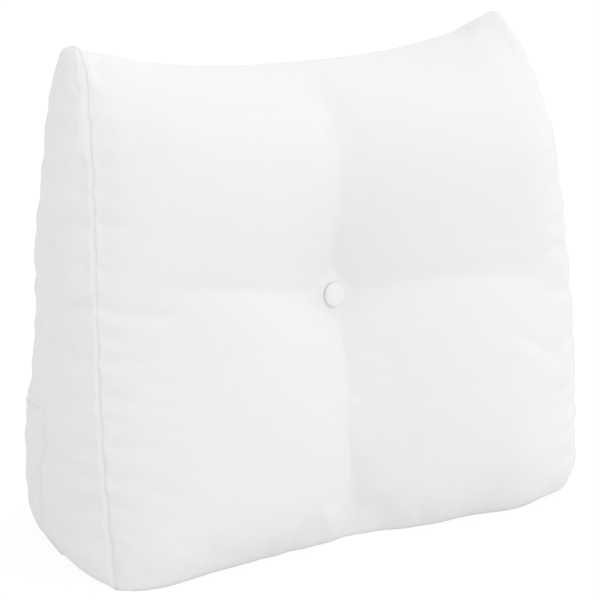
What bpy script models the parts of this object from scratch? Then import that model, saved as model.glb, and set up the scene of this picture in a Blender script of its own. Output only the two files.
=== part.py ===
"""Wedge-shaped backrest pillow: a filled cover, a covered button and a zip placket.

Sizes are in metres. +Z is up and the sloping front faces -Y. The origin lies on the
floor, under the middle of the pillow's outline. The pillow is worked out in its side
view first, where the depth is counted from the front foot towards the back.
"""
from collections import namedtuple
from math import cos, pi, radians, sin

import bmesh
import bpy
import numpy as np
from mathutils import Matrix, Vector

# Driving dimensions of the body
HEIGHT = 0.4735
TOP_DEPTH = 0.119
TOP_HALF_WIDTH = 0.222
TOP_SAG = 0.029
TOP_SAG_POWER = 2.6
EAR_RISE = 0.005
EAR_PINCH = 0.35
EAR_START = 0.72
EAR_FADE = 10
RIGHT_FULLNESS = 0.009
RIGHT_FOOT_TUCK = 0.007
MIDDLE_ACROSS = RIGHT_FULLNESS / 2
MIDDLE_DEPTH = 0.0935

# The sewn edge of a side panel: where it runs at each height, front and back
Section = namedtuple("Section", "height front back half_width")
SECTIONS = (
    Section(0.000, 0.002, 0.196, 0.2480),
    Section(0.080, 0.008, 0.192, 0.2505),
    Section(0.160, 0.016, 0.182, 0.2505),
    Section(0.240, 0.026, 0.176, 0.2470),
    Section(0.310, 0.036, 0.171, 0.2430),
    Section(0.370, 0.049, 0.166, 0.2380),
    Section(0.420, 0.068, 0.160, 0.2320),
    Section(0.452, 0.087, 0.151, 0.2260),
    Section(0.469, 0.103, 0.137, 0.2230),
)

# How far the front stands out of its sewn edges: along the button's upright crease,
# and along the crown of the quarters beside it
Crown = namedtuple("Crown", "height crease quarter")
FRONT_CROWN = (
    Crown(0.000, -0.002, 0.034),
    Crown(0.035, -0.006, 0.036),
    Crown(0.070, -0.002, 0.039),
    Crown(0.105, 0.005, 0.041),
    Crown(0.140, 0.009, 0.041),
    Crown(0.170, 0.008, 0.040),
    Crown(0.200, 0.002, 0.037),
    Crown(0.225, -0.006, 0.034),
    Crown(0.249, -0.016, 0.033),
    Crown(0.272, -0.011, 0.035),
    Crown(0.300, 0.000, 0.039),
    Crown(0.330, 0.0135, 0.043),
    Crown(0.360, 0.0245, 0.044),
    Crown(0.385, 0.031, 0.042),
    Crown(0.405, 0.030, 0.038),
    Crown(0.430, 0.020, 0.026),
    Crown(0.445, 0.0135, 0.017),
    Crown(0.460, 0.005, 0.007),
    Crown(HEIGHT, 0.000, 0.000),
)
CREASE_SPREAD = 0.24

# Where the front's foot is puffed out or drawn in beside the corners
FootPuff = namedtuple("FootPuff", "u out")
FOOT_PUFFS = (
    FootPuff(-0.85, 0.007),
    FootPuff(0.90, -0.0055),
)
FOOT_PUFF_WIDTH = 0.15
FOOT_PUFF_HEIGHT = 0.06

# How far the level crease rises above the button at each place across, u = -1 to 1
CreaseRise = namedtuple("CreaseRise", "u rise")
CREASE_LINE = (
    CreaseRise(-1.00, 0.003),
    CreaseRise(-0.76, 0.004),
    CreaseRise(-0.62, 0.022),
    CreaseRise(-0.40, 0.025),
    CreaseRise(-0.15, 0.014),
    CreaseRise(0.00, 0.000),
    CreaseRise(0.15, 0.009),
    CreaseRise(0.50, 0.007),
    CreaseRise(0.80, -0.004),
    CreaseRise(1.00, -0.016),
)
CREASE_BAND = 0.07
CROSS_CREASE_DEPTH = 0.007
CROSS_CREASE_SPREAD = 0.015
CROSS_CREASE_START = 0.2
BACK_CROWN = 0.018
BACK_CROWN_GAIN = 0.014
SIDE_CROWN = 0.085
UNEVENNESS = 0.0015

# How square the panels are across: the powers of their rounded shoulders
SQUARENESS = 3
FOOT_SQUARENESS = 5
SQUARE_HEIGHT = 0.05
SHOULDER = 0.6
SEAM_POWER = 8

# The rounded foot, where the cloth turns under onto the floor
FOOT_HEIGHT = 0.034
FRONT_TUCK = 0.022
FRONT_TUCK_MIDDLE = 0.007
BACK_TUCK = 0.012
SIDE_TUCK = 0.55

# Puckers that the side seams draw in
Pucker = namedtuple("Pucker", "height depth")
PUCKERS = (
    Pucker(0.072, 0.0026),
    Pucker(0.092, 0.0020),
    Pucker(0.124, 0.0030),
    Pucker(0.173, 0.0024),
    Pucker(0.200, 0.0030),
    Pucker(0.223, 0.0026),
    Pucker(0.252, 0.0034),
    Pucker(0.291, 0.0026),
    Pucker(0.331, 0.0034),
    Pucker(0.352, 0.0022),
    Pucker(0.392, 0.0032),
)
PUCKER_HEIGHT = 0.0075
PUCKER_REACH = 0.011
RIGHT_PUCKER_SHIFT = 0.013
BACK_PUCKER_SHARE = 0.7
BACK_PUCKER_START = 0.03

# Covered button and the flat it is drawn down onto
BUTTON_HEIGHT = 0.233
BUTTON_RADIUS = 0.0115
BUTTON_RISE = 0.0062
BUTTON_EDGE = 0.0020
BUTTON_BACK_RADIUS = 0.0095
BUTTON_TILT = radians(9)
SEAT_DEPTH = 0.0425
SEAT_RADIUS = 0.0135
DIMPLE_RADIUS = 0.040
CLEARANCE = 0.0004

# Zip placket: its front edge at each height, and its back edge beside the back seam
PlacketRow = namedtuple("PlacketRow", "height front")
PLACKET = (
    PlacketRow(0.0060, 0.108),
    PlacketRow(0.0160, 0.122),
    PlacketRow(0.0320, 0.136),
    PlacketRow(0.0560, 0.142),
    PlacketRow(0.0850, 0.141),
    PlacketRow(0.1080, 0.132),
    PlacketRow(0.1200, 0.127),
    PlacketRow(0.1310, 0.126),
)
PLACKET_FROM_SEAM = 0.009
PLACKET_GAP = 0.0007
PLACKET_THICKNESS = 0.0014

# Mesh fineness
ROWS_BELOW_CREASE = 27
ROWS_ABOVE_CREASE = 27
ROW_CLUSTERING = 0.55
COLUMNS_PER_HALF = 12
SIDE_COLUMNS = 9
COLUMN_CLUSTERING = 0.55
BUTTON_SEGMENTS = 32
BUTTON_RINGS = 6
PLACKET_COLUMNS = 6
PLACKET_ROWS = 14

SHARP_ANGLE = radians(50)

CLOTH_COLOUR = (0.86, 0.86, 0.87, 1.0)
CLOTH_ROUGHNESS = 0.85
BUTTON_ROUGHNESS = 0.75


def curve_through(places, values):
    """Return a function that reads a smooth curve through the given values."""
    places = np.asarray(places, float)
    values = np.asarray(values, float)
    slopes = np.gradient(values, places, axis=0)

    def read(place):
        place = np.clip(np.asarray(place, float), places[0], places[-1])
        low = np.clip(np.searchsorted(places, place) - 1, 0, len(places) - 2)
        step = places[low + 1] - places[low]
        t = (place - places[low]) / step
        if values.ndim > 1:
            t, step = t[..., None], step[..., None]
        start = (1 + 2 * t) * (1 - t) ** 2 * values[low]
        start = start + t * (1 - t) ** 2 * step * slopes[low]
        end = t ** 2 * (3 - 2 * t) * values[low + 1]
        return start + end + t ** 2 * (t - 1) * step * slopes[low + 1]

    return read


def smooth_step(low, high, value):
    """Rise smoothly from 0 at low to 1 at high."""
    t = np.clip((value - low) / (high - low), 0, 1)
    return t * t * (3 - 2 * t)


def spread(count, clustering):
    """Return count + 1 places from 0 to 1, closer together near both ends."""
    t = np.linspace(0, 1, count + 1)
    return (1 - clustering) * t + clustering * (1 - np.cos(pi * t)) / 2


def side_outline():
    """Return the sewn edge as a curve of depth, height and half width, and its lengths."""
    front = [(row.front, row.height, row.half_width) for row in SECTIONS]
    back = [(row.back, row.height, row.half_width) for row in reversed(SECTIONS)]
    points = np.array(front + [(TOP_DEPTH, HEIGHT, TOP_HALF_WIDTH)] + back)
    steps = np.linalg.norm(np.diff(points[:, :2], axis=0), axis=1)
    lengths = np.concatenate([[0], np.cumsum(steps)])
    return curve_through(lengths, points), lengths[len(front)], lengths[-1]


OUTLINE, TOP_PLACE, FULL_PLACE = side_outline()
CREASE_HEIGHT = BUTTON_HEIGHT / (1 - TOP_SAG / HEIGHT)
CROWN_AT = curve_through(
    [row.height for row in FRONT_CROWN],
    [(row.crease, row.quarter) for row in FRONT_CROWN],
)
CREASE_RISE_AT = curve_through(
    [row.u for row in CREASE_LINE],
    [row.rise for row in CREASE_LINE],
)


def outward(place):
    """Return the outline's outward direction in the side view, as depth and height."""
    ahead = OUTLINE(place + 0.001) - OUTLINE(place - 0.001)
    direction = np.stack([-ahead[..., 1], ahead[..., 0]], -1)
    return direction / np.linalg.norm(direction, axis=-1, keepdims=True)


def across_profile(u, height):
    """Return how full a panel is from its middle, u = 0, to a seam, u = 1 or -1."""
    squareness = SQUARENESS + FOOT_SQUARENESS * np.exp(-height / SQUARE_HEIGHT)
    return np.maximum(1 - np.abs(u) ** squareness, 0) ** SHOULDER


def tuck(height):
    """Return how far the cloth has turned under, from 0 above the foot to 1 on the floor."""
    t = np.clip(1 - height / FOOT_HEIGHT, 0, 1)
    return 1 - np.sqrt(1 - t ** 2)


def puckers(side, height, reach):
    """Return how far the cloth is drawn in, at a distance from a side seam."""
    shift = RIGHT_PUCKER_SHIFT if side > 0 else 0.0
    depth = 0.0
    for row in PUCKERS:
        offset = (height - row.height - shift) / PUCKER_HEIGHT
        depth = depth + row.depth * np.exp(-offset ** 2)
    near = reach / PUCKER_REACH
    return depth * near * np.exp(1 - near)


def unevenness(u, height):
    """Return the slow ups and downs of the filling."""
    wave = np.sin(9 * u + 21 * height + 0.8) + np.sin(5 * u - 33 * height + 2.1)
    return UNEVENNESS * wave


def front_crown(u, section):
    """Return how far the front stands out of its sewn edges."""
    height, half_width = section[..., 1], section[..., 2]
    near_crease = np.exp(-((height - CREASE_HEIGHT) / CREASE_BAND) ** 2)
    level = height - CREASE_RISE_AT(u) * near_crease
    crown = CROWN_AT(level)
    crease, quarter = crown[..., 0], crown[..., 1]
    full = across_profile(u, height)
    crease_share = np.exp(-np.abs(u) / CREASE_SPREAD)
    out = quarter * full + (crease - quarter) * crease_share
    from_crease = np.abs(level - CREASE_HEIGHT)
    cross = CROSS_CREASE_DEPTH * np.exp(-from_crease / CROSS_CREASE_SPREAD)
    out = out - cross * full * smooth_step(0, CROSS_CREASE_START, np.abs(u))
    middle_tuck = FRONT_TUCK_MIDDLE - FRONT_TUCK
    foot = (FRONT_TUCK + middle_tuck * crease_share) * (1 - u ** SEAM_POWER)
    out = out - foot * tuck(height)
    out = out + unevenness(u, height) * full * (1 - height / HEIGHT)
    for puff in FOOT_PUFFS:
        across = np.exp(-((u - puff.u) / FOOT_PUFF_WIDTH) ** 2)
        out = out + puff.out * across * full * np.exp(-height / FOOT_PUFF_HEIGHT)
    from_seam = half_width * (1 - np.abs(u))
    left = puckers(-1, height, from_seam) * (u < 0)
    right = puckers(1, height, from_seam) * (u > 0)
    return out - left - right


def back_crown(u, section):
    """Return how far the plain back stands out of its sewn edges."""
    height = section[..., 1]
    up = height / HEIGHT
    full = across_profile(u, height)
    out = (BACK_CROWN + BACK_CROWN_GAIN * up) * full * (1 - up ** 4)
    return out - BACK_TUCK * tuck(height) * (1 - u ** SEAM_POWER)


def panel_points(u, place):
    """Return points of the long panel: u across, place along it from front to back foot."""
    section = OUTLINE(place)
    direction = outward(place)
    crown = np.where(place <= TOP_PLACE, front_crown(u, section), back_crown(u, section))
    depth = section[..., 0] + direction[..., 0] * crown
    height = section[..., 1] + direction[..., 1] * crown
    height = np.maximum(height, 0)
    height = height * (1 - TOP_SAG / HEIGHT * (1 - np.abs(u) ** TOP_SAG_POWER))
    ear = (section[..., 1] / HEIGHT) ** EAR_FADE * smooth_step(EAR_START, 1.0, u)
    height = height + EAR_RISE * ear
    depth = depth + EAR_PINCH * ear * (TOP_DEPTH - depth)
    right = np.maximum(u, 0)
    across = u * section[..., 2] + RIGHT_FULLNESS * right ** 2 * (1 - EAR_PINCH * ear)
    corner = RIGHT_FOOT_TUCK * right ** SEAM_POWER * tuck(section[..., 1])
    across = across - corner
    depth = depth - corner * direction[..., 0]
    return drawn_to_button(np.stack([across, depth, height], -1))


def drawn_to_button(points):
    """Draw the cloth round the button onto the flat that the button sits on."""
    lean = np.tan(BUTTON_TILT)
    rise = points[..., 2] - BUTTON_HEIGHT
    from_button = np.hypot(points[..., 0], rise)
    share = 1 - smooth_step(SEAT_RADIUS, DIMPLE_RADIUS, from_button)
    share = share * (points[..., 1] < MIDDLE_DEPTH)
    seat = SEAT_DEPTH + lean * rise
    points[..., 1] += share * (seat - points[..., 1])
    return points


def side_points(side, front, back, q):
    """Return points of a side panel between two points of its sewn edge, q from front."""
    line = front + (back - front) * q[..., None]
    width = np.abs(back[..., 1] - front[..., 1])
    height = line[..., 2]
    full = (4 * q * (1 - q)) ** SHOULDER
    bulge = SIDE_CROWN * width * full * (1 - SIDE_TUCK * tuck(height))
    bulge = bulge - puckers(side, height, q * width)
    placket_top = PLACKET[-1].height
    share = smooth_step(placket_top, placket_top + BACK_PUCKER_START, height)
    bulge = bulge - BACK_PUCKER_SHARE * share * puckers(side, height, (1 - q) * width)
    line[..., 0] += side * bulge
    return line


def new_object(name, mesh_data, material):
    """Turn a bmesh into a smooth-shaded object of its own material."""
    bmesh.ops.recalc_face_normals(mesh_data, faces=mesh_data.faces)
    mesh = bpy.data.meshes.new(name)
    mesh_data.to_mesh(mesh)
    mesh_data.free()
    mesh.shade_smooth()
    mesh.set_sharp_from_angle(angle=SHARP_ANGLE)
    mesh.materials.append(material)
    piece = bpy.data.objects.new(name, mesh)
    bpy.context.scene.collection.objects.link(piece)
    return piece


def cloth_material(name, roughness):
    """Make a plain white woven polyester."""
    material = bpy.data.materials.new(name)
    material.use_nodes = True
    shader = material.node_tree.nodes["Principled BSDF"]
    shader.inputs["Base Color"].default_value = CLOTH_COLOUR
    shader.inputs["Roughness"].default_value = roughness
    shader.inputs["Metallic"].default_value = 0.0
    return material


def fill_grid(mesh_data, rows):
    """Fill the faces between rows of vertices, and skip the corners that rows share."""
    for low, high in zip(rows, rows[1:]):
        for i in range(len(low) - 1):
            corners = [low[i], low[i + 1], high[i + 1], high[i]]
            corners = list(dict.fromkeys(corners))
            if len(corners) > 2:
                mesh_data.faces.new(corners)


def panel_columns():
    """Return the places of the columns across the panel, from -1 to 1."""
    seat = SEAT_RADIUS / SECTIONS[3].half_width
    outer = seat + (1 - seat) * spread(COLUMNS_PER_HALF, COLUMN_CLUSTERING)
    half = np.concatenate([[seat / 2], outer])
    return np.concatenate([-half[::-1], [0], half])


def front_places():
    """Return the places of the rows from the front foot to the top."""
    lengths = np.linspace(0, TOP_PLACE, 400)
    crease_place = np.interp(CREASE_HEIGHT, OUTLINE(lengths)[:, 1], lengths)
    above = TOP_PLACE - crease_place
    lower = crease_place * spread(ROWS_BELOW_CREASE, ROW_CLUSTERING)
    upper = crease_place + above * spread(ROWS_ABOVE_CREASE, ROW_CLUSTERING)
    return np.concatenate([lower, upper[1:]])


def rings_of_points():
    """Return the closed rings of points round the pillow, one ring for each column."""
    up = front_places()
    down = FULL_PLACE - (FULL_PLACE - TOP_PLACE) * up[-2::-1] / TOP_PLACE
    places = np.concatenate([up, down])
    base_share = spread(SIDE_COLUMNS, COLUMN_CLUSTERING)[1:-1]
    rings = []
    for u in panel_columns():
        ring = panel_points(np.full(len(places), u), places)
        ring[[0, -1], 2] = 0.0
        front, back = ring[0], ring[-1]
        foot = side_points(1, np.tile(front, (len(base_share), 1)), back, base_share)
        base = front + (back - front) * base_share[:, None]
        base[:, 0] += u * (foot[:, 0] - base[:, 0])
        rings.append(np.concatenate([ring, base[::-1]]))
    return np.array(rings), len(up) - 1


def make_pillow(material):
    """Build the filled body: the long panel, the base and the two side panels."""
    rings, top = rings_of_points()
    rings -= (MIDDLE_ACROSS, MIDDLE_DEPTH, 0)
    body = bmesh.new()
    verts = [[body.verts.new(point) for point in ring] for ring in rings]
    fill_grid(body, [ring + [ring[0]] for ring in verts])
    q = spread(SIDE_COLUMNS, COLUMN_CLUSTERING)
    for side, ring, points in ((-1, verts[0], rings[0]), (1, verts[-1], rings[-1])):
        foot = [ring[0]] + ring[:2 * top:-1] + [ring[2 * top]]
        rows = [foot]
        for i in range(1, top):
            front, back = points[i], points[2 * top - i]
            inner = side_points(side, np.tile(front, (len(q), 1)), back, q)[1:-1]
            middle = [body.verts.new(point) for point in inner]
            rows.append([ring[i]] + middle + [ring[2 * top - i]])
        rows.append([ring[top]] * len(foot))
        fill_grid(body, rows)
    return new_object("pillow", body, material)


def make_button(material):
    """Build the covered button: a flat back, a short edge and a low dome, turned on Z."""
    dome_rise = BUTTON_RISE - BUTTON_EDGE
    profile = [(BUTTON_BACK_RADIUS, 0.0), (BUTTON_RADIUS, BUTTON_EDGE / 2)]
    for i in range(BUTTON_RINGS):
        turn = radians(90) * i / BUTTON_RINGS
        rise = BUTTON_EDGE + dome_rise * sin(turn)
        profile.append((BUTTON_RADIUS * cos(turn), rise))
    turned = bmesh.new()
    rows = []
    for radius, rise in profile:
        row = []
        for i in range(BUTTON_SEGMENTS):
            turn = 2 * pi * i / BUTTON_SEGMENTS
            point = (radius * cos(turn), radius * sin(turn), rise)
            row.append(turned.verts.new(point))
        rows.append(row)
    turned.faces.new(rows[0])
    fill_grid(turned, [row + [row[0]] for row in rows])
    crown = turned.verts.new((0, 0, BUTTON_RISE))
    for i in range(BUTTON_SEGMENTS):
        turned.faces.new((rows[-1][i - 1], rows[-1][i], crown))
    facing = Vector((0, -cos(BUTTON_TILT), sin(BUTTON_TILT)))
    seat = Vector((-MIDDLE_ACROSS, SEAT_DEPTH - MIDDLE_DEPTH, BUTTON_HEIGHT))
    button = new_object("button", turned, material)
    button.matrix_world = Matrix.LocRotScale(
        seat + facing * CLEARANCE,
        facing.to_track_quat("Z", "Y"),
        None,
    )
    return button


def side_surface(depth, height):
    """Return a point of the left side panel at a depth and a height."""
    lengths = np.linspace(0, FULL_PLACE, 1200)
    edge = OUTLINE(lengths)
    rising = lengths <= TOP_PLACE
    front_depth = np.interp(height, edge[rising, 1], edge[rising, 0])
    back_depth = np.interp(height, edge[~rising, 1][::-1], edge[~rising, 0][::-1])
    half_width = np.interp(height, edge[rising, 1], edge[rising, 2])
    front = np.array([-half_width, front_depth, height])
    back = np.array([-half_width, back_depth, height])
    q = np.array((depth - front_depth) / (back_depth - front_depth))
    return Vector(side_points(-1, front, back, q)), back_depth


def make_zip_flap(material):
    """Build the placket: a thin strip that follows the left side panel near its back."""
    front_edge = curve_through(
        [row.height for row in PLACKET],
        [row.front for row in PLACKET],
    )
    heights = np.linspace(PLACKET[0].height, PLACKET[-1].height, PLACKET_ROWS + 1)
    flap = bmesh.new()
    inner, outer = [], []
    for height in heights:
        start = float(front_edge(height))
        end = side_surface(start, height)[1] - PLACKET_FROM_SEAM
        inner_row, outer_row = [], []
        for depth in np.linspace(start, end, PLACKET_COLUMNS + 1):
            point = side_surface(depth, height)[0]
            deeper = side_surface(depth + 0.001, height)[0] - point
            higher = side_surface(depth, height + 0.001)[0] - point
            normal = higher.cross(deeper).normalized()
            if normal.x > 0:
                normal = -normal
            point -= Vector((MIDDLE_ACROSS, MIDDLE_DEPTH, 0))
            inner_row.append(flap.verts.new(point + normal * PLACKET_GAP))
            top = PLACKET_GAP + PLACKET_THICKNESS
            outer_row.append(flap.verts.new(point + normal * top))
        inner.append(inner_row)
        outer.append(outer_row)
    fill_grid(flap, inner)
    fill_grid(flap, outer)
    fill_grid(flap, [inner[0], outer[0]])
    fill_grid(flap, [inner[-1], outer[-1]])
    fill_grid(flap, [[row[0] for row in inner], [row[0] for row in outer]])
    fill_grid(flap, [[row[-1] for row in inner], [row[-1] for row in outer]])
    return new_object("zip_flap", flap, material)


def main():
    for piece in list(bpy.data.objects):
        bpy.data.objects.remove(piece, do_unlink=True)
    make_pillow(cloth_material("body_cloth", CLOTH_ROUGHNESS))
    make_button(cloth_material("button_cloth", BUTTON_ROUGHNESS))
    make_zip_flap(cloth_material("placket_cloth", CLOTH_ROUGHNESS))


main()
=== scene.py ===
"""Looks of the wedge backrest pillow: swollen cover, sewn edges, covered button, placket.

Sizes are in metres. The cover's form follows the solids' side outline and crowns,
counted from the front foot, and is then moved onto the frame.
"""
from collections import namedtuple
from math import cos, pi, radians, sin, tan

import bmesh
import bpy
import numpy as np
from mathutils import Matrix, Vector


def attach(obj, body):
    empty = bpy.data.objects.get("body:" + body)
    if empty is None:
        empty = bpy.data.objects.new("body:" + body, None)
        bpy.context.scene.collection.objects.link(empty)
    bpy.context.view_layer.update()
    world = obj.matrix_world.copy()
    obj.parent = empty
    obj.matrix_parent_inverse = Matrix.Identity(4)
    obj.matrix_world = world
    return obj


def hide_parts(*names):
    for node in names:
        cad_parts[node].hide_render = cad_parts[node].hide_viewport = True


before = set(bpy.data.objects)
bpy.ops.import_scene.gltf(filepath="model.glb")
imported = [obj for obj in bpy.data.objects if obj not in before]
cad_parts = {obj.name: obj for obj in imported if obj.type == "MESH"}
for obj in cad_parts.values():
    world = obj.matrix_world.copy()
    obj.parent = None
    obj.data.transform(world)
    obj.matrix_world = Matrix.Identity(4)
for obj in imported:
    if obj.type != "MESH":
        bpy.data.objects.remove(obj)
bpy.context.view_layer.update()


def table(columns, *rows):
    """Return a table's rows, whose values can be read by the names of their columns."""
    row = namedtuple("row", columns)
    return [row(*values) for values in rows]


# Size of the body
HEIGHT = 0.4735
TOP_DEPTH = 0.119
TOP_HALF_WIDTH = 0.222
TOP_SAG = 0.032
TOP_SAG_POWER = 2.4
RIGHT_SAG_POWER = 3.0

# Ear at the top right, fuller right side, and the feet of both sides
EAR_RISE = 0.003
EAR_PINCH = 0.35
EAR_START = 0.76
EAR_FADE = 10
RIGHT_FULLNESS = 0.012
RIGHT_FOOT_TUCK = 0.013
LEFT_FOOT_STEP = 0.006
LEFT_FOOT_START = 0.55
LEFT_FOOT_HEIGHT = 0.05

# Middle of the outline, where the frame has its origin
MIDDLE_ACROSS = RIGHT_FULLNESS / 2
MIDDLE_DEPTH = 0.0935

# Side outline of the wedge, from the floor up
SECTIONS = table(
    "height front back half_width",
    (0.000, 0.002, 0.198, 0.2480),
    (0.080, 0.008, 0.196, 0.2505),
    (0.160, 0.016, 0.182, 0.2505),
    (0.240, 0.026, 0.170, 0.2470),
    (0.310, 0.036, 0.169, 0.2430),
    (0.370, 0.049, 0.164, 0.2380),
    (0.420, 0.068, 0.160, 0.2320),
    (0.452, 0.087, 0.154, 0.2260),
    (0.469, 0.103, 0.143, 0.2230),
)

# Rise of the front over that outline, in the upright crease and in the quarters
FRONT_CROWN = table(
    "height crease quarter",
    (0.000, -0.002, 0.034),
    (0.035, -0.006, 0.036),
    (0.070, -0.002, 0.039),
    (0.105, 0.005, 0.041),
    (0.140, 0.009, 0.041),
    (0.170, 0.008, 0.040),
    (0.200, 0.002, 0.037),
    (0.225, -0.006, 0.034),
    (0.249, -0.016, 0.033),
    (0.272, -0.011, 0.035),
    (0.300, 0.000, 0.039),
    (0.330, 0.0135, 0.043),
    (0.360, 0.0245, 0.044),
    (0.385, 0.031, 0.042),
    (0.405, 0.030, 0.038),
    (0.430, 0.020, 0.026),
    (0.445, 0.0135, 0.017),
    (0.460, 0.005, 0.007),
    (HEIGHT, 0.000, 0.000),
)

# Upright crease
CREASE_SPREAD = 0.24
CREASE_ROUNDING = 0.006
CREASE_FOOT_ROUNDING = 0.05
CREASE_BUTTON_ROUNDING = 0.040
CREASE_BUTTON_HEIGHT = 0.028
CREASE_FOOT_HEIGHT = 0.03
CREASE_SWAY = -0.028
SWAY_HEIGHT = 0.115
SWAY_BAND = 0.05
SWAY_SPREAD = 0.2

# Swellings along the front's foot
FOOT_PUFFS = table(
    "u out",
    (-0.87, 0.0085),
    (-0.25, 0.002),
    (0.05, 0.0035),
    (0.35, 0.006),
    (0.70, 0.010),
    (0.90, -0.009),
)
FOOT_PUFF_WIDTH = 0.15
FOOT_PUFF_HEIGHT = 0.06

# Cross crease, from left to right
CREASE_LINE = table(
    "u rise depth",
    (-1.00, 0.018, 0.00),
    (-0.80, 0.028, 0.10),
    (-0.68, 0.031, 0.45),
    (-0.40, 0.023, 0.75),
    (-0.20, 0.013, 0.95),
    (0.00, 0.000, 1.00),
    (0.12, 0.002, 1.00),
    (0.35, 0.006, 1.00),
    (0.50, 0.004, 1.00),
    (0.62, 0.001, 0.95),
    (0.75, -0.010, 0.85),
    (0.87, -0.021, 0.70),
    (1.00, -0.031, 0.40),
)
CREASE_BAND = 0.07
CROSS_CREASE_DEPTH = 0.0036
CROSS_CREASE_SPREAD = 0.015
CROSS_CREASE_ROUNDING = 0.005
CROSS_CREASE_START = 0.2

# Back and side panels
BACK_CROWN = 0.018
BACK_CROWN_GAIN = 0.014
SIDE_CROWN = 0.085
SIDE_SKEW = 0.1
SIDE_CORNER = 0.015
SIDE_CORNER_REACH = 0.019
SIDE_CORNER_WIDTH = 0.08
BACK_PUFFS = table(
    "start low high end out",
    (0.000, 0.050, 0.138, 0.152, 0.0018),
    (0.145, 0.165, 0.195, 0.235, -0.0030),
    (0.220, 0.260, 0.285, 0.340, 0.0025),
)
BACK_PUFF_PLACE = 0.88
BACK_PUFF_SPREAD = 0.16
BACK_PUFF_REACH = 0.004

# Single folds on the front, each between two points
FOLDS = table(
    "u height end_u end_height out width",
    (0.66, 0.191, 0.92, 0.139, -0.0017, 0.0075),
    (0.67, 0.178, 0.92, 0.124, 0.0013, 0.0095),
    (0.58, 0.275, 0.92, 0.256, 0.0016, 0.0100),
    (-1.02, 0.251, -0.74, 0.253, -0.0024, 0.0060),
    (-0.98, 0.240, -0.78, 0.241, 0.0008, 0.0060),
    (-0.30, 0.000, -0.22, 0.034, -0.0040, 0.0110),
    (-0.42, 0.000, -0.38, 0.022, -0.0022, 0.0080),
    (0.145, 0.000, 0.085, 0.042, -0.0052, 0.0150),
    (-0.09, 0.000, -0.12, 0.040, 0.0034, 0.0110),
    (-0.17, 0.010, -0.19, 0.046, -0.0016, 0.0035),
    (0.30, 0.000, 0.24, 0.030, -0.0020, 0.0080),
)
FOLD_FADE = 0.25
UNEVENNESS = 0.0015

# Fullness across the panels
SQUARENESS = 3
FOOT_SQUARENESS = 5
SQUARE_HEIGHT = 0.05
SHOULDER = 0.6
SEAM_EASE = 0.025
SIDE_SEAM_EASE = 0.07
SEAM_POWER = 8

# Turning under at the foot
FOOT_HEIGHT = 0.034
FOOT_TURN_HEIGHT = 0.058
FOOT_TURN_SHARE = 0.72
FRONT_TUCK = 0.019
FRONT_TUCK_MIDDLE = 0.006
BACK_TUCK = 0.012
SIDE_TUCK = 0.90

# Puckers at the front seams
PUCKERS = table(
    "height depth slant",
    (0.0520, 0.0010, 0.10),
    (0.0765, 0.0022, -0.15),
    (0.1000, 0.0020, 0.10),
    (0.1340, 0.0026, -0.10),
    (0.1540, 0.0012, 0.15),
    (0.1780, 0.0022, -0.15),
    (0.2080, 0.0026, 0.05),
    (0.2310, 0.0022, -0.10),
    (0.2557, 0.0032, 0.00),
    (0.2895, 0.0022, 0.10),
    (0.3315, 0.0028, -0.10),
    (0.3575, 0.0022, 0.10),
    (0.3800, 0.0014, 0.00),
    (0.4050, 0.0010, 0.10),
    (0.4300, 0.0010, -0.10),
)
RIGHT_PUCKERS = table(
    "height depth slant",
    (0.042, 0.0012, 0.10),
    (0.069, 0.0014, -0.10),
    (0.093, 0.0016, 0.10),
    (0.112, 0.0010, 0.00),
    (0.160, 0.0014, -0.15),
    (0.210, 0.0018, 0.10),
    (0.222, 0.0010, -0.10),
    (0.256, 0.0018, 0.00),
    (0.278, 0.0012, 0.15),
    (0.302, 0.0014, -0.10),
    (0.314, 0.0010, 0.10),
    (0.328, 0.0014, 0.00),
    (0.345, 0.0012, -0.10),
    (0.405, 0.0008, 0.10),
)
PUCKER_HEIGHT = 0.0048
PUCKER_FAN = 0.16
PUCKER_REACH = 0.006
RIGHT_PUCKER_REACH = 0.013
SIDE_PUCKER_REACH = 0.022
SIDE_PUCKER_GAIN = 1.9
SIDE_PUCKER_HEIGHT = 0.0068
BACK_PUCKER_SHARE = 0.3
BACK_PUCKER_LOW = 0.143
BACK_PUCKER_START = 0.03

# Button's seat
BUTTON_HEIGHT = 0.233
BUTTON_TILT = radians(9)
BUTTON_SWING = radians(9)
SEAT_DEPTH = 0.0392
SEAT_RADIUS = 0.0135
DIMPLE_RADIUS = 0.031
DIMPLE_REACH = 0.0072

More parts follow.
